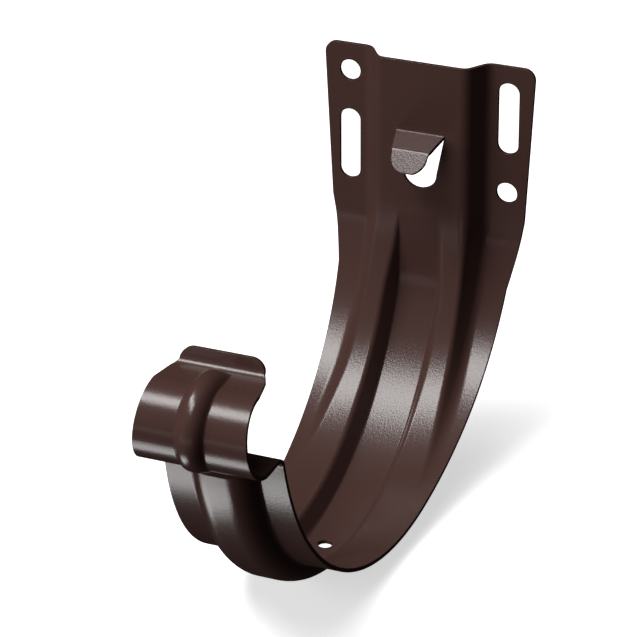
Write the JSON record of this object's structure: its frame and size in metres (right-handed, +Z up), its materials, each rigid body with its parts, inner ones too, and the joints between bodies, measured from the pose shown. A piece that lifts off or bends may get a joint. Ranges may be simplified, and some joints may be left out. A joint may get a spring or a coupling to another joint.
{
  "type": "half-round gutter bracket",
  "caption": "Pressed sheet steel bracket for a half-round gutter: slotted wall plate with a fold-over tongue, ribbed seat and a front hook round the gutter's bead",
  "frame": {"origin": "on the wall plane, at the centre of the two round screw holes", "axes": "X runs along the wall and the gutter, +Y goes into the wall, +Z is up"},
  "size_m": [0.0564, 0.1524, 0.105],
  "materials": {
    "painted_steel": "dark brown satin powder coat with a fine grain"
  },
  "bodies": {
    "root": {"bracket": "painted_steel"}
  },
  "joints": []
}
